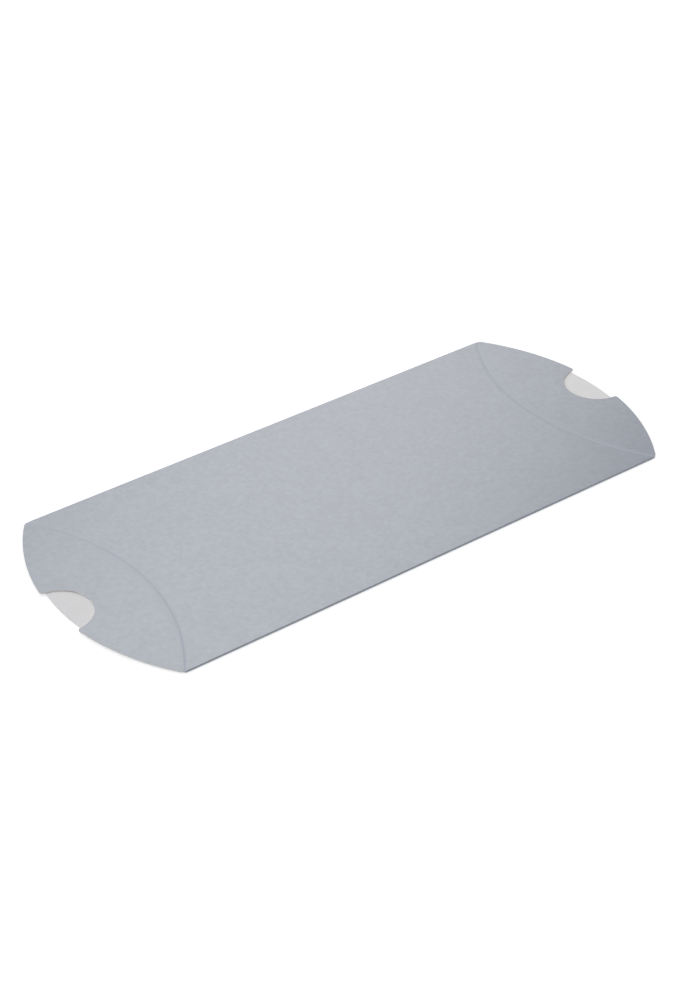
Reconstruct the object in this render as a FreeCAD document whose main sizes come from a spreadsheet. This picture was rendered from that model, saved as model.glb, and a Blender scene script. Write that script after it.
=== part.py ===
import FreeCAD, Part
import math
import os
import Sketcher

# A pillow box of folding board, lying flat as it is stored: two panels joined along their long sides, with
# a curved crease and an end flap at each end of each panel. Board only bends along straight lines, and on
# this box those lines run along its length, so each panel and each flap is divided on the same five strips.
# X runs along the box, Y across it from the near side to the far side, and Z up from the underside.

SIZES = {
    "box_length": 220.0,      # between the ends of the creases
    "box_width": 110.0,
    "board": 0.4,             # thickness of the board
    "crease_sag": 17.8,       # how far a crease bows in from the end of the box
    "edge_sag": 18.4,         # how far a notched flap bows out from the end of the box
    "plain_setback": 2.2,     # how much shorter a plain flap is
    "score_gap": 0.25,        # board crushed away along a crease, between a panel and its flap
    "tuck_gap": 0.2,          # between a plain flap and the notched flap that closes over it
    "tip_trim": 1.2,          # cut from each corner of a notched flap
    "plain_tip_trim": 2.4,    # cut from each corner of a plain flap
    "thumb_radius": 12.8,
    "thumb_inset": 0.9,       # from the notched flap's edge in to the centre of the thumb notch
    "tab_width": 12.0,
    "tab_setback": 4.0,       # from the end of the box to the glue tab's fold
    "tab_taper": 8.0,         # how much further in each end of the tab's free edge lies
    "glue_film": 0.05,
    "glue_margin": 2.5,       # between the glue and the tab's edges
    "tab_slack": 0.05,        # between the glue tab and the panel above it
    "seam_reach": 0.1,        # how far the lower panel and the tab reach past the far fold's axis
    "fold_play": 0.03,        # between the near side's round fold and the panel that turns about it
}

STRIPS = ("near_edge", "near_side", "middle", "far_side", "far_edge")
ENDS = {"left": -1, "right": 1}
# Directions in a fold's section: across the box and up
NEAR, FAR, UP, DOWN = (-1, 0), (1, 0), (0, 1), (0, -1)
# Which way an arc in an outline bows
OUTWARD, INWARD = 1, -1

doc = FreeCAD.newDocument("pillow_box")
sheet = doc.addObject("Spreadsheet::Sheet", "sizes")
for row, (alias, size) in enumerate(SIZES.items(), start=1):
    sheet.set(f"A{row}", alias)
    sheet.set(f"B{row}", str(size))
    sheet.setAlias(f"B{row}", alias)
doc.recompute()

# Heights of the layers, as expressions on the sheet
LOWER_LEVEL = "0"
GLUE_LEVEL = "sizes.board"
TAB_LEVEL = "(sizes.board + sizes.glue_film)"
UPPER_LEVEL = "(2 * sizes.board + sizes.glue_film + sizes.tab_slack)"
LAYER_GAP = "(sizes.board + sizes.glue_film + sizes.tab_slack)"
# Along the sides the board turns over in a half round, as high as the whole flat box
FOLD_RADIUS = f"(sizes.board + {LAYER_GAP} / 2)"
FOLD_LEVEL = FOLD_RADIUS
# From the far side to the edge of the lower panel and of the tab, which the far fold curls over
SEAM_INSET = f"({FOLD_RADIUS} - sizes.seam_reach)"
# A plain flap's crease lies this much further in, so that the flap stands inside the notched one
NEST = "(sizes.board + sizes.tuck_gap)"


def value(text):
    """The number that an expression on the sheet comes to."""
    return float(sheet.evalExpression(text))


def bend_line(index):
    """Place across the box of one of the lines between the strips, counted from the near side."""
    return f"(sizes.box_width * {index / len(STRIPS) - 0.5:.2f})"


def arc_radius(sag):
    return f"((sizes.box_width ^ 2 / 4 + sizes.{sag} ^ 2) / (2 * sizes.{sag}))"


def arc_rise(sag, across):
    """How far an arc over the box's width stands from its chord at one place across the box."""
    radius = arc_radius(sag)
    return f"(sqrt({radius} ^ 2 - {across} ^ 2) - {radius} + sizes.{sag})"


def side_line(index, inset):
    """Like bend_line, with the box's two sides moved in by an inset."""
    inward = {0: 1, len(STRIPS): -1}.get(index, 0)
    return f"({bend_line(index)} + {inward} * {inset})"


def crease_at(across, nest):
    """Distance along the box from its middle to a panel's crease, at one place across the box."""
    return f"(sizes.box_length / 2 - {nest} - {arc_rise('crease_sag', across)})"


def new_body(label):
    body = doc.addObject("PartDesign::Body", label)
    body.Label = label
    return body


def new_sketch(body, name, level="0", role="XY_Plane"):
    """A sketch in one of the body's own planes, raised to a level."""
    sketch = body.newObject("Sketcher::SketchObject", f"{body.Label}_{name}")
    plane = next(feature for feature in body.Origin.OriginFeatures if feature.Role == role)
    sketch.AttachmentSupport = [(plane, "")]
    sketch.MapMode = "FlatFace"
    sketch.setExpression("AttachmentOffset.Base.z", level)
    return sketch


def bind(sketch, kind, reference, name, text):
    """Adds a named dimension to a sketch and ties it to an expression."""
    index = sketch.addConstraint(Sketcher.Constraint(kind, *reference, value(text)))
    sketch.renameConstraint(index, name)
    sketch.setExpression(f"Constraints.{name}", text)


def draw_outline(sketch, corners, arcs=None):
    """A closed outline, counter-clockwise. arcs holds the radius and the bow of each side that is an arc."""
    arcs = arcs or {}
    origin = (-1, 1)
    points = [FreeCAD.Vector(value(x), value(y), 0) for x, y in corners]
    ends = []
    for side, start in enumerate(points):
        end = points[(side + 1) % len(points)]
        radius, bow = arcs.get(side, (None, OUTWARD))
        if radius is None:
            sketch.addGeometry(Part.LineSegment(start, end))
        elif bow == OUTWARD:
            sketch.addGeometry(arc_between(start, end, value(radius)))
        else:
            sketch.addGeometry(arc_between(end, start, value(radius)))
        # an arc runs counter-clockwise about its own centre, so one that bows in runs against the outline
        ends.append((1, 2) if bow == OUTWARD else (2, 1))
    for side, (x, y) in enumerate(corners):
        after = (side + 1) % len(corners)
        sketch.addConstraint(Sketcher.Constraint("Coincident", side, ends[side][1], after, ends[after][0]))
        bind(sketch, "DistanceX", (*origin, side, ends[side][0]), f"x_{side}", x)
        bind(sketch, "DistanceY", (*origin, side, ends[side][0]), f"y_{side}", y)
    for side, (radius, _) in arcs.items():
        bind(sketch, "Radius", (side,), f"arc_{side}", radius)


def draw_circle(sketch, centre_x, centre_y, radius):
    centre = FreeCAD.Vector(value(centre_x), value(centre_y), 0)
    sketch.addGeometry(Part.Circle(centre, FreeCAD.Vector(0, 0, 1), value(radius)))
    bind(sketch, "DistanceX", (-1, 1, 0, 3), "centre_x", centre_x)
    bind(sketch, "DistanceY", (-1, 1, 0, 3), "centre_y", centre_y)
    bind(sketch, "Radius", (0,), "radius", radius)


def arc_between(start, end, radius):
    """The short counter-clockwise arc from one point to another."""
    chord = end - start
    inward = FreeCAD.Vector(-chord.y, chord.x, 0).normalize()
    centre = (start + end) / 2 + inward * math.sqrt(radius ** 2 - chord.Length ** 2 / 4)
    circle = Part.Circle(centre, FreeCAD.Vector(0, 0, 1), radius)
    angles = [math.atan2(point.y - centre.y, point.x - centre.x) for point in (start, end)]
    if angles[1] < angles[0]:
        angles[1] += 2 * math.pi
    return Part.ArcOfCircle(circle, *angles)


def pad(body, sketch, length, sides="One side"):
    feature = body.newObject("PartDesign::Pad", f"{sketch.Name}_pad")
    feature.Profile = sketch
    feature.SideType = sides
    feature.setExpression("Length", length)
    sketch.Visibility = False


def pocket(body, sketch, length, sides="One side"):
    """Cuts a sketch out of a body, upward from its plane or both ways from it."""
    doc.recompute()
    before = body.Shape.Volume
    feature = body.newObject("PartDesign::Pocket", f"{sketch.Name}_pocket")
    feature.Profile = sketch
    feature.SideType = sides
    feature.Reversed = True
    feature.setExpression("Length", length)
    sketch.Visibility = False
    doc.recompute()
    if not body.Shape.Volume < before:
        raise RuntimeError(f"{sketch.Name} cuts nothing")


def make_plate(label, level, thickness, corners, arcs=None):
    body = new_body(label)
    sketch = new_sketch(body, "outline", level)
    draw_outline(sketch, corners, arcs)
    pad(body, sketch, thickness)
    return body


def make_panel(name, level, nest, far_inset):
    """One wide panel as five strips whose ends follow the creases."""
    crease = (arc_radius("crease_sag"), INWARD)
    for index, strip in enumerate(STRIPS):
        near, far = side_line(index, FOLD_RADIUS), side_line(index + 1, far_inset)
        near_end, far_end = crease_at(near, nest), crease_at(far, nest)
        corners = [(f"-{near_end}", near), (near_end, near), (far_end, far), (f"-{far_end}", far)]
        make_plate(f"{name}_panel_{strip}", level, "sizes.board", corners, {1: crease, 3: crease})


def fold_length(nest):
    """Length of a side's fold, which stops where the creases leave it."""
    return f"(2 * {crease_at(side_line(0, FOLD_RADIUS), nest)})"


def curl_edge(label, axis, directions, length):
    """Turns a panel's edge over about a fold's axis, a quarter round from each direction to the next."""
    inner = f"({FOLD_RADIUS} - sizes.board)"
    outside = [round_point(axis, direction, FOLD_RADIUS) for direction in directions]
    inside = [round_point(axis, direction, inner) for direction in reversed(directions)]
    turns = len(directions) - 1
    arcs = {turn: (FOLD_RADIUS, OUTWARD) for turn in range(turns)}
    arcs.update({turns + 1 + turn: (inner, INWARD) for turn in range(turns)})
    body = doc.getObject(label)
    sketch = new_sketch(body, "fold", role="YZ_Plane")
    draw_outline(sketch, outside + inside, arcs)
    pad(body, sketch, length, "Symmetric")


def round_point(axis, direction, radius):
    """A point of a fold's round section, seen along the box."""
    across, up = direction
    return (f"({axis} + {across} * {radius})", f"({FOLD_LEVEL} + {up} * {radius})")


def add_near_fold():
    """Turns the lower panel's near edge over in a half round, and seats the upper panel's edge on it."""
    axis = side_line(0, FOLD_RADIUS)
    curl_edge("lower_panel_near_edge", axis, (UP, NEAR, DOWN), fold_length(NEST))
    upper = doc.getObject("upper_panel_near_edge")
    sketch = new_sketch(upper, "fold_seat", role="YZ_Plane")
    draw_circle(sketch, axis, FOLD_LEVEL, f"({FOLD_RADIUS} + sizes.fold_play)")
    pocket(upper, sketch, "sizes.box_length", "Symmetric")


def add_far_fold():
    """Curls the upper panel's far edge a quarter round down over the glue tab."""
    curl_edge("upper_panel_far_edge", side_line(len(STRIPS), FOLD_RADIUS), (FAR, UP), fold_length("0"))


def flap_corners(side, index, nest, setback, trim):
    """Corners of one facet of an end flap, counter-clockwise: its second side is the flap's outer edge and
    its fourth the crease."""
    edges = []
    for line in (index, index + 1):
        across = side_line(line, trim)
        inner = f"({crease_at(across, nest)} + sizes.score_gap)"
        outer = f"(sizes.box_length / 2 + {arc_rise('edge_sag', across)} - {setback})"
        edges.append((across, inner, outer))
    if side < 0:
        edges.reverse()
    sign = "-" if side < 0 else ""
    (first, first_inner, first_outer), (last, last_inner, last_outer) = edges
    return [
        (f"{sign}{first_inner}", first),
        (f"{sign}{first_outer}", first),
        (f"{sign}{last_outer}", last),
        (f"{sign}{last_inner}", last),
    ]


def cut_thumb_notch(body, side):
    """Cuts the round thumb notch out of a facet that it reaches."""
    sketch = new_sketch(body, "thumb_notch", UPPER_LEVEL)
    centre = f"{side} * (sizes.box_length / 2 + sizes.edge_sag - sizes.thumb_inset)"
    draw_circle(sketch, centre, "0", "sizes.thumb_radius")
    pocket(body, sketch, "sizes.board")


def make_flap(end, kind, level, nest, setback, trim):
    """One end flap as five facets on the same lines as its panel."""
    side = ENDS[end]
    for index, strip in enumerate(STRIPS):
        label = f"{end}_{kind}_flap_{strip.replace('edge', 'tip')}"
        corners = flap_corners(side, index, nest, setback, trim)
        edges = {1: (arc_radius("edge_sag"), OUTWARD), 3: (arc_radius("crease_sag"), OUTWARD)}
        body = make_plate(label, level, "sizes.board", corners, edges)
        nearest = min(abs(value(bend_line(index))), abs(value(bend_line(index + 1))))
        reached = strip == "middle" or nearest < value("sizes.thumb_radius")
        if kind == "notched" and reached:
            cut_thumb_notch(body, side)


def make_glue_tab():
    """The tab under the far side of the upper panel, and the glue that holds it to the lower panel."""
    fold = side_line(len(STRIPS), SEAM_INSET)
    free = f"({fold} - sizes.tab_width)"
    root = "(sizes.box_length / 2 - sizes.tab_setback)"
    tip = f"({root} - sizes.tab_taper)"
    corners = [(f"-{tip}", free), (tip, free), (root, fold), (f"-{root}", fold)]
    make_plate("glue_tab", TAB_LEVEL, "sizes.board", corners)
    near = f"({free} + sizes.glue_margin)"
    far = f"({fold} - sizes.glue_margin)"
    end = f"({tip} - sizes.glue_margin)"
    corners = [(f"-{end}", near), (end, near), (end, far), (f"-{end}", far)]
    make_plate("glue_line", GLUE_LEVEL, "sizes.glue_film", corners)


def check_document():
    """Stops on any object that failed to build."""
    for item in doc.Objects:
        if "Invalid" in item.State or "Error" in item.State:
            raise RuntimeError(f"{item.Label} failed: {item.State}")
    for body in bodies():
        if body.Shape.isNull() or not body.Shape.isValid():
            raise RuntimeError(f"{body.Label} has no valid shape")


def bodies():
    return [item for item in doc.Objects if item.TypeId == "PartDesign::Body"]


make_panel("lower", LOWER_LEVEL, NEST, SEAM_INSET)
make_panel("upper", UPPER_LEVEL, "0", FOLD_RADIUS)
add_near_fold()
add_far_fold()
make_glue_tab()
for end in ENDS:
    make_flap(end, "notched", UPPER_LEVEL, "0", "0", "sizes.tip_trim")
    make_flap(end, "plain", LOWER_LEVEL, NEST, "sizes.plain_setback", "sizes.plain_tip_trim")
doc.recompute()
check_document()

os.makedirs("parts", exist_ok=True)
for body in bodies():
    body.Shape.exportStep(f"parts/{body.Label}.step")
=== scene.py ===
import bmesh
import bpy
import math
from mathutils import Matrix, Quaternion, Vector


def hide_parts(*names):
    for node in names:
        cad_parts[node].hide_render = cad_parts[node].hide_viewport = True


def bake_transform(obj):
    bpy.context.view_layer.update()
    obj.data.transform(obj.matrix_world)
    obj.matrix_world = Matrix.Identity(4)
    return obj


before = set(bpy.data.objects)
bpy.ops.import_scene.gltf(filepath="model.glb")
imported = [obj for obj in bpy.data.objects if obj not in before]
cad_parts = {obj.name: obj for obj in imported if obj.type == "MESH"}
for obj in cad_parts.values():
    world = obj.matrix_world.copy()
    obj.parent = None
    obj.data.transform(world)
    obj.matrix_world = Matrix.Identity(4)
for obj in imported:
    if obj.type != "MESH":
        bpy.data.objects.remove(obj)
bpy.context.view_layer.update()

# Sizes in millimetres, as in the part's source
MM = 0.001
HALF_LENGTH = 110.0
HALF_WIDTH = 55.0
BOARD = 0.4
TOP = 1.3                 # height of the box as it lies flat
CREASE_SAG = 17.8
EDGE_SAG = 18.4
NEST = 0.6                # how much further in the lower panel's creases lie
PLAIN_TIP_TRIM = 2.4
THUMB_RADIUS = 12.8
THUMB_INSET = 0.9
FOLD_RADIUS = TOP / 2
FOLD_AXIS = HALF_WIDTH - FOLD_RADIUS
SEAM_REACH = 0.1          # how far the lower panel's far edge reaches past the far fold's axis
STRIP = 2 * HALF_WIDTH / 5

# Sizes that only the looks need, of which the first two are a little less than in the part's source
PLAIN_SETBACK = 2.1       # how far a plain flap's edge lies behind a notched flap's
TIP_TRIM = 0.8
PINCH = 0.45              # how much thinner the box is at its near side, which has no glue tab in it
NEAR_RADIUS = (TOP - PINCH) / 2
NEAR_AXIS = HALF_WIDTH - NEAR_RADIUS
GROOVE_DEPTH = 0.07       # of the scored line on the outside
PANEL_GROOVE = 2.2        # its width on the panel's side of the crease
FLAP_GROOVE = 0.6
GROOVE_STEPS = 8
CREASE_HIGHLIGHT_HALF_WIDTH = 0.95            # half the width of the painted highlight and rougher coating along a crease
NOSE = BOARD - GROOVE_DEPTH
NOSE_STEP = 18            # degrees
COATED_TO = -30           # degrees round the nose, past which the board is bare
BEAD_RUNOUT = 2.0         # the length over which the bead inside a crease runs out at a fold
PLAIN_SPRING = 0.4        # how far a plain flap springs up at the middle of its edge
FLAP_REACH = CREASE_SAG + EDGE_SAG
CORNER_ROUND = 1.3        # of the die-cut corners beside a thumb notch
TIP_ROUND = 0.6
OUTER_BREAK = 0.04        # how much of a cut edge is worn off on the board's outside
INNER_BREAK = 0.03
LIP = 0.04                # how far a piece reaches under its neighbour
LIP_DROP = 0.004

# Steps of the meshes, in millimetres or degrees
ROW_STEP = 1.6
SEAM_STEP = 0.3
LEAST_STEP = 0.01
CORNER_STEPS = (0.05, 0.15, 0.3, 0.5, 0.75, 1.1)
NOTCH_STEP = 5            # degrees
FOLD_STEP = 15            # degrees
FLAP_STEPS = 8            # along a flap, from its crease to its edge
# Places in a panel's groove, as shares of its width
GROOVE_SHARES = (1.02, 0.85, 0.7, 0.55, 0.4, CREASE_HIGHLIGHT_HALF_WIDTH / PANEL_GROOVE, 0.18, 0.11, 0.05)
SHARP = math.radians(25)  # a steeper edge than this isn't shaded smooth

PANEL_STRIPS = ("near_edge", "near_side", "middle", "far_side", "far_edge")
FLAP_STRIPS = ("near_tip", "near_side", "middle", "far_side", "far_tip")
SPANS = ("near_outer", "near_inner", "far_inner", "far_outer")
# The strips that the piece over each span stands for
STANDS_FOR = ((0,), (1,), (2, 3), (4,))
# Where the pieces meet, midway between the four lines that the board bends on when the box is closed
SEAMS = tuple(STRIP * step for step in (-1, 0, 1))
OUTSIDE, INSIDE, CUT = 0, 1, 2


def arc_rise(sag, across):
    """How far an arc over the box's width stands from its chord."""
    radius = (HALF_WIDTH ** 2 + sag ** 2) / (2 * sag)
    return math.sqrt(radius ** 2 - across ** 2) - radius + sag


def crease_at(across, nest):
    return HALF_LENGTH - nest - arc_rise(CREASE_SAG, across)


def rounding(distance, radius):
    """How far a rounded corner keeps back, at a distance from the side that it turns into."""
    if distance >= radius:
        return 0.0
    return radius - math.sqrt(radius ** 2 - (radius - distance) ** 2)


def notched_edge(across):
    """The outer edge of a notched flap, with its thumb notch and rounded corners."""
    across = abs(across)
    edge = HALF_LENGTH + arc_rise(EDGE_SAG, across)
    centre = HALF_LENGTH + EDGE_SAG - THUMB_INSET
    if across < THUMB_RADIUS:
        return min(edge, centre - math.sqrt(THUMB_RADIUS ** 2 - across ** 2))
    beside_notch = rounding(across - THUMB_RADIUS, CORNER_ROUND)
    return edge - beside_notch - rounding(HALF_WIDTH - TIP_TRIM - across, TIP_ROUND)


def plain_edge(across):
    across = abs(across)
    edge = HALF_LENGTH + arc_rise(EDGE_SAG, across) - PLAIN_SETBACK
    return edge - rounding(HALF_WIDTH - PLAIN_TIP_TRIM - across, TIP_ROUND)


def groove(offset):
    """Depth of the scored line, at an offset along the box from the crease."""
    width = FLAP_GROOVE if offset > 0 else PANEL_GROOVE
    share = min(1.0, abs(offset) / width)
    return GROOVE_DEPTH * (1 + math.cos(math.pi * share)) / 2


def painted_highlight_share(offset):
    """How strongly a crease's painted highlight and rougher coating show, at an offset along the box from
    the crease.
    """
    return max(0.0, 1 - abs(offset) / CREASE_HIGHLIGHT_HALF_WIDTH)


def even_steps(first, last, step):
    count = max(1, round(abs(last - first) / step))
    return [first + (last - first) * index / count for index in range(count)] + [last]


class Station:
    """One line along the board: where its outer and inner face lie, seen along the box."""

    def __init__(self, across, outer, inner, nest, spring=0.0, is_lip=False):
        self.across = max(-NEAR_AXIS, min(FOLD_AXIS, across))
        self.outer = outer
        self.inner = inner
        self.nest = nest
        self.spring = spring
        self.is_lip = is_lip
        # the bead of the crease runs out where the board turns over
        self.bead = max(0.0, min(1.0, (FOLD_AXIS - abs(across)) / BEAD_RUNOUT))

    def at(self, along, depth):
        """The point at a depth below the outer face. A flap springs up towards its edge."""
        share = depth / BOARD
        y = self.outer[0] + (self.inner[0] - self.outer[0]) * share
        z = self.outer[1] + (self.inner[1] - self.outer[1]) * share
        beyond = abs(along) - crease_at(self.across, self.nest)
        return Vector((along, y, z + self.spring * (beyond / FLAP_REACH) ** 2))

    def lip(self, side):
        """The end of a piece, drawn in and passed under the next piece."""
        y = self.outer[0] + side * LIP
        outer, inner = self.outer[1], self.inner[1]
        inward = LIP_DROP if inner > outer else -LIP_DROP
        return Station(self.across, (y, outer + inward), (y, inner - inward), self.nest, self.spring, True)


def upper_layer(across):
    """Heights of the upper board's outer and inner face. Its far side lies on the glue tab."""
    share = (FOLD_AXIS - across) / (FOLD_AXIS + NEAR_AXIS)
    outer = TOP - PINCH * share ** 2
    return outer, outer - BOARD


def lower_layer(across):
    return 0.0, BOARD


def flat_station(across, layer, nest):
    outer, inner = layer(across)
    return Station(across, (across, outer), (across, inner), nest)


def flap_station(across, layer, nest):
    """A station of an end flap: a notched flap springs up to the box's height, a plain flap less."""
    station = flat_station(across, layer, nest)
    station.spring = TOP - station.outer[1] if layer is upper_layer else PLAIN_SPRING
    return station


def turned_station(axis, fold_radius, angle, nest):
    """A station where the board is turned over a side's fold, at an angle in degrees."""
    turn = math.radians(angle)
    across, up = math.cos(turn), math.sin(turn)
    radii = (fold_radius, fold_radius - BOARD)
    outer, inner = [(axis + radius * across, fold_radius + radius * up) for radius in radii]
    return Station(outer[0], outer, inner, nest)


def panel_rows(span):
    """Places across the box of a panel's rows, close together at a seam so that its shading runs on."""
    limits = (-NEAR_AXIS,) + SEAMS + (FOLD_AXIS,)
    first, last = limits[span], limits[span + 1]
    rows = even_steps(first, last, ROW_STEP)
    return sorted(rows + [first + SEAM_STEP, last - SEAM_STEP])


def upper_stations(span):
    stations = [flat_station(across, upper_layer, 0.0) for across in panel_rows(span)]
    if span == 0:
        # the inner face stops at the round of the near fold
        stations[0].inner = (stations[0].inner[0] + BOARD, stations[0].inner[1])
        del stations[1]
    if span == 3:
        angles = range(90 - FOLD_STEP, -1, -FOLD_STEP)
        stations += [turned_station(FOLD_AXIS, FOLD_RADIUS, angle, 0.0) for angle in angles]
    return stations


def lower_stations(span):
    stations = [flat_station(across, lower_layer, NEST) for across in panel_rows(span)]
    if span == 0:
        # the fold's ends lean from the upper panel's creases to the lower panel's
        leans = {angle: NEST * (angle - 90) / 180 for angle in range(90, 270, FOLD_STEP)}
        curl = [turned_station(-NEAR_AXIS, NEAR_RADIUS, angle, lean) for angle, lean in leans.items()]
        stations = curl + stations
    if span == 3:
        stations.append(flat_station(FOLD_AXIS + SEAM_REACH, lower_layer, NEST))
    return stations


def flap_rows(span, trim):
    """Places across the box of a flap's rows, of which there are more round its notch and its corners."""
    limits = (trim - HALF_WIDTH,) + SEAMS + (HALF_WIDTH - trim,)
    first, last = limits[span], limits[span + 1]
    rows = even_steps(first, last, ROW_STEP) + [first + SEAM_STEP, last - SEAM_STEP]
    places = [THUMB_RADIUS * math.sin(math.radians(angle)) for angle in range(0, 91, NOTCH_STEP)]
    places += [THUMB_RADIUS + step for step in CORNER_STEPS]
    places += [HALF_WIDTH - trim - step for step in CORNER_STEPS]
    rows += [side * place for side in (-1, 1) for place in places]
    kept = []
    for row in sorted(row for row in rows if first <= row <= last):
        if not kept or row - kept[-1] > LEAST_STEP:
            kept.append(row)
    return kept


def panel_section(station):
    """A panel's section along one line, as points and the finish of the side after each point."""
    crease = crease_at(station.across, station.nest)
    half = []
    for share in GROOVE_SHARES:
        offset = -PANEL_GROOVE * share
        half.append((crease + offset, groove(offset), OUTSIDE))
    # the board's rounded nose at the crease, and on from it the bead that the creasing pressed out inside
    for angle in range(90, -181, -NOSE_STEP):
        turn = math.radians(angle)
        depth = BOARD - NOSE * math.sin(turn) * (station.bead if angle < 0 else 1)
        half.append((crease + NOSE * math.cos(turn), depth, OUTSIDE if angle > COATED_TO else INSIDE))
    half.append((crease - PANEL_GROOVE, BOARD, INSIDE))
    mirrored = [(-along, depth, finish) for along, depth, finish in reversed(half)]
    # a side's finish is listed with the point before it, so the mirrored list moves on by one
    finishes = [finish for _, _, finish in mirrored[1:]] + [OUTSIDE]
    mirrored = [(along, depth, finish) for (along, depth, _), finish in zip(mirrored, finishes)]
    return half + mirrored


def flap_section(station, edge, side):
    """An end flap's section along one line, from its crease out to its cut edge and back."""
    crease = crease_at(station.across, station.nest)
    outer = edge(station.across)
    width = outer - crease
    # at its tips a flap is hardly wider than the scored line
    score = min(FLAP_GROOVE, width / 2)
    section = []
    for step in range(GROOVE_STEPS + 1):
        depth = groove(FLAP_GROOVE * step / GROOVE_STEPS)
        section.append((crease + score * step / GROOVE_STEPS, depth, OUTSIDE))
    flat = width - score - OUTER_BREAK
    spread = [crease + score + flat * step / FLAP_STEPS for step in range(1, FLAP_STEPS)]
    section += [(along, 0.0, OUTSIDE) for along in spread]
    section.append((outer - OUTER_BREAK, 0.0, CUT))
    section.append((outer, OUTER_BREAK, CUT))
    section.append((outer, BOARD - INNER_BREAK, CUT))
    section.append((outer - INNER_BREAK, BOARD, INSIDE))
    section += [(along, BOARD, INSIDE) for along in reversed(spread)]
    section.append((crease, BOARD, OUTSIDE))
    return [(side * along, depth, finish) for along, depth, finish in section]


def loft(name, stations, sections, materials):
    """A closed mesh through one section for each station, with what its materials read at each point."""
    points, layers, highlight_shares = [], [], []
    count = len(sections[0])
    for station, section in zip(stations, sections):
        crease = crease_at(station.across, station.nest)
        points += [station.at(along, depth) * MM for along, depth, _ in section]
        layers += [max(0.0, min(1.0, depth / BOARD)) for _, depth, _ in section]
        # the share of the painted highlight along the crease, at each point
        highlight_shares += [painted_highlight_share(abs(along) - crease) for along, _, _ in section]
    faces, finishes = [], []
    for row in range(len(stations) - 1):
        for column in range(count):
            after = (column + 1) % count
            first, second = row * count, (row + 1) * count
            faces.append((first + column, first + after, second + after, second + column))
            finishes.append(sections[row][column][2])
    faces += [tuple(range(count)), tuple(range(len(points) - count, len(points)))]
    finishes += [CUT, CUT]
    mesh = bpy.data.meshes.new(name)
    mesh.from_pydata(points, [], faces)
    mesh.polygons.foreach_set("material_index", finishes)
    rest = mesh.attributes.new("rest", "FLOAT_VECTOR", "POINT")
    rest.data.foreach_set("vector", [value for point in points for value in point])
    for kind, values in (("layer", layers), ("score", highlight_shares)):
        attribute = mesh.attributes.new(kind, "FLOAT", "POINT")
        attribute.data.foreach_set("value", values)
    for material in materials:
        mesh.materials.append(material)
    built = bmesh.new()
    built.from_mesh(mesh)
    bmesh.ops.recalc_face_normals(built, faces=built.faces)
    built.to_mesh(mesh)
    built.free()
    mesh.shade_smooth()
    mesh.set_sharp_from_angle(angle=SHARP)
    # a lip has its own shading, so that the face beside it stays as smooth as its neighbour's
    seams = {row + step for row, station in enumerate(stations) if station.is_lip for step in (-1, 0, 1)}
    for edge in mesh.edges:
        rows = {vertex // count for vertex in edge.vertices}
        if len(rows) == 1 and rows <= seams:
            edge.use_edge_sharp = True
    piece = bpy.data.objects.new(name, mesh)
    bpy.context.scene.collection.objects.link(piece)
    return piece


def with_lips(stations, span):
    """Adds the lips by which a piece passes under its neighbours at the seams."""
    lipped = list(stations)
    if span > 0:
        lipped.insert(0, stations[0].lip(-1))
    if span < 3:
        lipped.append(stations[-1].lip(1))
    return lipped


def bend_with(piece, prefix, strips, span):
    """Bakes a piece's place into its mesh and hides the strips of the part that it stands for."""
    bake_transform(piece)
    stands_for = [strips[index] for index in STANDS_FOR[span]]
    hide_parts(*[prefix + strip for strip in stands_for])


def make_panels(materials):
    for name, stations_of in (("upper", upper_stations), ("lower", lower_stations)):
        for span, place in enumerate(SPANS):
            stations = with_lips(stations_of(span), span)
            sections = [panel_section(station) for station in stations]
            piece = loft(f"{name}_board_{place}", stations, sections, materials)
            bend_with(piece, f"{name}_panel_", PANEL_STRIPS, span)


def make_flaps(materials):
    kinds = (
        ("notched", upper_layer, 0.0, TIP_TRIM, notched_edge),
        ("plain", lower_layer, NEST, PLAIN_TIP_TRIM, plain_edge),
    )
    for end, side in (("left", -1), ("right", 1)):
        for kind, layer, nest, trim, edge in kinds:
            for span, place in enumerate(SPANS):
                rows = flap_rows(span, trim)
                stations = with_lips([flap_station(across, layer, nest) for across in rows], span)
                sections = [flap_section(station, edge, side) for station in stations]
                piece = loft(f"{end}_{kind}_{place}", stations, sections, materials)
                bend_with(piece, f"{end}_{kind}_flap_", FLAP_STRIPS, span)


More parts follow.
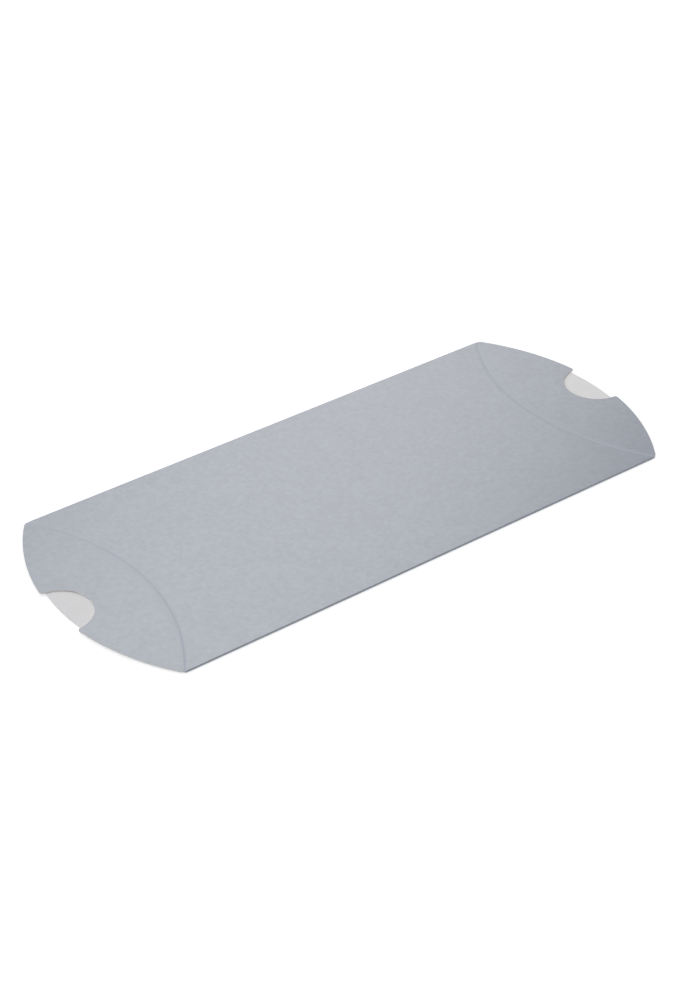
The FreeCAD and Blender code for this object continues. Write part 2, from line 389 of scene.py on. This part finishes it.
class Nodes:
    """A new material and the calls that build its nodes."""

    def __init__(self, name):
        self.material = bpy.data.materials.new(name)
        self.material.use_nodes = True
        self.tree = self.material.node_tree
        self.shader = self.tree.nodes["Principled BSDF"]

    def add(self, kind, inputs=None, **settings):
        node = self.tree.nodes.new(kind)
        for key, setting in settings.items():
            setattr(node, key, setting)
        for key, source in (inputs or {}).items():
            self.feed(node, key, source)
        return node

    def feed(self, node, key, source):
        """Links an input to an output socket, or sets its value."""
        if isinstance(source, bpy.types.NodeSocket):
            self.tree.links.new(source, node.inputs[key])
        else:
            node.inputs[key].default_value = source

    def place(self, on_board):
        """Where a point of the board lies at rest, so that its grain moves with it."""
        if on_board:
            return self.add("ShaderNodeAttribute", attribute_name="rest").outputs["Vector"]
        return self.add("ShaderNodeTexCoord").outputs["Object"]

    def noise(self, place, size, detail):
        """Noise with blotches of about a size in millimetres."""
        inputs = {"Vector": place, "Scale": 1 / (size * MM), "Detail": detail}
        return self.add("ShaderNodeTexNoise", inputs).outputs["Fac"]

    def spread(self, source, low, high):
        """A noise's usual range spread over two values."""
        inputs = {"Value": source, "From Min": 0.25, "From Max": 0.75, "To Min": low, "To Max": high}
        return self.add("ShaderNodeMapRange", inputs).outputs["Result"]

    def ramp(self, source, stops):
        node = self.add("ShaderNodeValToRGB", {"Fac": source})
        elements = node.color_ramp.elements
        while len(elements) < len(stops):
            elements.new(0.5)
        for element, (position, colour) in zip(elements, stops):
            element.position = position
            element.color = (*colour, 1)
        return node.outputs["Color"]

    def mix(self, share, first, second, blend="MIX"):
        node = self.add("ShaderNodeMix", data_type="RGBA", blend_type=blend)
        self.feed(node, "Factor", share)
        # the colour sockets come after the number and vector ones of the same names
        for index, source in ((6, first), (7, second)):
            if isinstance(source, bpy.types.NodeSocket):
                self.tree.links.new(source, node.inputs[index])
            else:
                node.inputs[index].default_value = (*source, 1)
        return node.outputs[2]

    def bump(self, height, distance, strength):
        inputs = {"Height": height, "Distance": distance * MM, "Strength": strength}
        return self.add("ShaderNodeBump", inputs).outputs["Normal"]

    def finish(self, **inputs):
        for key, source in inputs.items():
            self.feed(self.shader, key.replace("_", " "), source)
        return self.material


def outside_material():
    """Silver-grey coated board, with the soft mottling of its pulp and a satin sheen."""
    n = Nodes("silver_board")
    place = n.place(True)
    cloud = n.noise(place, size=9, detail=3)
    grain = n.noise(place, size=1.9, detail=3)
    base = n.ramp(n.spread(cloud, 0, 1), [(0.0, (0.370, 0.392, 0.433)), (1.0, (0.385, 0.404, 0.451))])
    fine = n.ramp(n.spread(grain, 0, 1), [(0.0, (0.875, 0.877, 0.870)), (1.0, (1.0, 1.0, 1.0))])
    # along a crease the colour is painted paler, a painted highlight, and the coating is rougher, so it is
    # less glossy there
    score = n.add("ShaderNodeAttribute", attribute_name="score").outputs["Fac"]
    painted_highlight_colour, added_roughness = (0.450, 0.475, 0.528), 0.3
    terms = {0: score, 1: added_roughness, 2: n.spread(grain, 0.28, 0.32)}
    rough = n.add("ShaderNodeMath", terms, operation="MULTIPLY_ADD").outputs[0]
    return n.finish(
        Base_Color=n.mix(score, n.mix(1.0, base, fine, "MULTIPLY"), painted_highlight_colour),
        Metallic=0.5,
        Roughness=rough,
        Normal=n.bump(grain, distance=0.002, strength=0.5),
    )


def inside_material(on_board=True):
    """The uncoated white side, with pulp fibres."""
    n = Nodes("white_board" if on_board else "white_tab")
    place = n.place(on_board)
    cloud = n.noise(place, size=5, detail=3)
    stretched = n.add("ShaderNodeMapping", {"Vector": place, "Scale": (1.0, 4.0, 1.0)}).outputs["Vector"]
    fibre = n.noise(stretched, size=1.2, detail=5)
    base = n.ramp(n.spread(cloud, 0, 1), [(0.0, (0.825, 0.808, 0.797)), (1.0, (0.865, 0.848, 0.837))])
    fine = n.ramp(n.spread(fibre, 0, 1), [(0.0, (0.96, 0.955, 0.945)), (1.0, (1.0, 1.0, 1.0))])
    return n.finish(
        Base_Color=n.mix(1.0, base, fine, "MULTIPLY"),
        Roughness=n.spread(fibre, 0.78, 0.9),
        Normal=n.bump(fibre, distance=0.01, strength=0.6),
    )


def cut_material():
    """A die-cut edge: the thin silver coating, then the pale layers of pulp."""
    n = Nodes("cut_board")
    place = n.place(True)
    layer = n.add("ShaderNodeAttribute", attribute_name="layer").outputs["Fac"]
    pulp = n.noise(place, size=0.25, detail=3)
    stops = [
        (0.0, (0.40, 0.42, 0.45)),
        (0.05, (0.44, 0.45, 0.47)),
        (0.09, (0.93, 0.90, 0.86)),
        (0.55, (0.91, 0.88, 0.84)),
        (0.60, (0.94, 0.92, 0.89)),
        (1.0, (0.95, 0.93, 0.91)),
    ]
    fine = n.ramp(n.spread(pulp, 0, 1), [(0.0, (0.95, 0.945, 0.935)), (1.0, (1.0, 1.0, 1.0))])
    return n.finish(
        Base_Color=n.mix(1.0, n.ramp(layer, stops), fine, "MULTIPLY"),
        Roughness=n.spread(pulp, 0.8, 0.95),
        Normal=n.bump(pulp, distance=0.02, strength=0.7),
    )


def glue_material():
    """Dried white glue, pressed out unevenly."""
    n = Nodes("dried_glue")
    place = n.place(False)
    film = n.noise(place, size=3, detail=3)
    colour = n.ramp(n.spread(film, 0, 1), [(0.0, (0.62, 0.60, 0.54)), (1.0, (0.74, 0.72, 0.67))])
    return n.finish(
        Base_Color=colour,
        Roughness=n.spread(film, 0.3, 0.5),
        Normal=n.bump(film, distance=0.02, strength=0.6),
    )


def floor_material():
    """White where it is seen or mirrored, and pale grey to the light that it passes on."""
    grey, glow_strength = 0.6, 0.6
    n = Nodes("white_floor")
    path = n.add("ShaderNodeLightPath").outputs
    seen = path["Is Camera Ray"]
    for ray in ("Is Glossy Ray", "Is Transmission Ray"):
        seen = n.add("ShaderNodeMath", {0: seen, 1: path[ray]}, operation="MAXIMUM").outputs[0]
    glow = n.add("ShaderNodeMath", {0: seen, 1: glow_strength}, operation="MULTIPLY").outputs[0]
    n.feed(n.shader, "Specular IOR Level", 0.0)
    n.feed(n.shader, "Emission Color", (1, 1, 1, 1))
    return n.finish(Base_Color=(grey, grey, grey, 1), Roughness=0.9, Emission_Strength=glow)


def make_floor():
    """A plain floor that sweeps up far off on all sides, so that no view from above sees past it."""
    flat, sweep, level = 2.5, 4.5, -0.00002    # in metres, the level just under the box
    sides, steepest, step = 64, 50, 5          # the last two in degrees
    rings = [(0.8 * flat, level)]
    for angle in range(0, steepest + 1, step):
        turn = math.radians(angle)
        rings.append((flat + sweep * math.sin(turn), level + sweep * (1 - math.cos(turn))))
    turns = [2 * math.pi * side / sides for side in range(sides)]
    points = []
    for reach, height in rings:
        points += [(reach * math.cos(turn), reach * math.sin(turn), height) for turn in turns]
    faces = [tuple(range(sides))]
    for ring in range(len(rings) - 1):
        for side in range(sides):
            after = (side + 1) % sides
            inner, outer = ring * sides, (ring + 1) * sides
            faces.append((inner + side, outer + side, outer + after, inner + after))
    mesh = bpy.data.meshes.new("floor")
    mesh.from_pydata(points, [], faces)
    mesh.shade_smooth()
    mesh.materials.append(floor_material())
    floor = bpy.data.objects.new("floor", mesh)
    bpy.context.scene.collection.objects.link(floor)


def add_softbox(place, sizes, tilt, power):
    """A soft lamp aimed at the box: place and sizes in millimetres, tilt in degrees, power in watts."""
    lamp = bpy.data.lights.new("softbox", "AREA")
    lamp.shape = "RECTANGLE"
    lamp.size, lamp.size_y = [size * MM for size in sizes]
    lamp.energy = power
    lamp.color = (1.0, 0.97, 0.86)
    holder = bpy.data.objects.new("softbox", lamp)
    holder.location = Vector(place) * MM
    aim = -Vector(place)
    holder.rotation_mode = "QUATERNION"
    holder.rotation_quaternion = aim.to_track_quat("-Z", "Y") @ Quaternion((0, 0, 1), math.radians(tilt))
    holder.visible_camera = False
    bpy.context.scene.collection.objects.link(holder)


def make_world():
    """The light of a white studio, which is weakest in front of the box on the right."""
    world = bpy.data.worlds.new("studio")
    world.use_nodes = True
    nodes, links = world.node_tree.nodes, world.node_tree.links
    light = nodes["Background"]
    light.inputs["Color"].default_value = (0.985, 1.0, 1.05, 1)
    coordinates = nodes.new("ShaderNodeTexCoord")
    toward = nodes.new("ShaderNodeVectorMath")
    toward.operation = "DOT_PRODUCT"
    links.new(coordinates.outputs["Generated"], toward.inputs[0])
    brightest = (-0.55, 0.55, 0.63)
    toward.inputs[1].default_value = brightest
    level = nodes.new("ShaderNodeMapRange")
    level.interpolation_type = "SMOOTHSTEP"
    limits = {"From Min": -0.3, "From Max": 0.8, "To Min": 0.3, "To Max": 0.96}
    for key, limit in limits.items():
        level.inputs[key].default_value = limit
    links.new(toward.outputs["Value"], level.inputs["Value"])
    links.new(level.outputs["Result"], light.inputs["Strength"])
    bpy.context.scene.world = world


def light_scene():
    make_world()
    add_softbox(place=(217, 460, 475), sizes=(760, 318), tilt=48, power=0.71)
    bpy.context.scene.view_settings.view_transform = "Standard"


def make_camera():
    """A camera where the photograph was taken from, fitted to the box's outline, creases and notches."""
    image_height, focal = 1000, 2152.8    # in pixels
    elevation, azimuth, roll = [math.radians(angle) for angle in (34.85, -126.23, -0.57)]
    target, distance = Vector((-5.5, -5.67, TOP)), 819.7
    flat = math.cos(elevation)
    back = Vector((flat * math.cos(azimuth), flat * math.sin(azimuth), math.sin(elevation)))
    level_right = Vector((0, 0, 1)).cross(back).normalized()
    level_up = back.cross(level_right)
    right = math.cos(roll) * level_right + math.sin(roll) * level_up
    up = math.cos(roll) * level_up - math.sin(roll) * level_right
    turn = Matrix((right, up, back)).transposed().to_4x4()
    lens = bpy.data.cameras.new("camera")
    lens.sensor_width = 36
    lens.lens = lens.sensor_width * focal / image_height
    # the photograph was cut a little off its middle
    lens.shift_x = -0.0041
    lens.clip_start, lens.clip_end = 0.01, 20
    camera = bpy.data.objects.new("camera", lens)
    camera.matrix_world = Matrix.Translation((target + back * distance) * MM) @ turn
    bpy.context.scene.collection.objects.link(camera)
    bpy.context.scene.camera = camera


def dress_cad_node(name, material):
    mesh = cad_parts[name].data
    mesh.materials.clear()
    mesh.materials.append(material)


board = (outside_material(), inside_material(), cut_material())
make_panels(board)
make_flaps(board)
dress_cad_node("glue_tab", inside_material(on_board=False))
dress_cad_node("glue_line", glue_material())
make_floor()
light_scene()
make_camera()
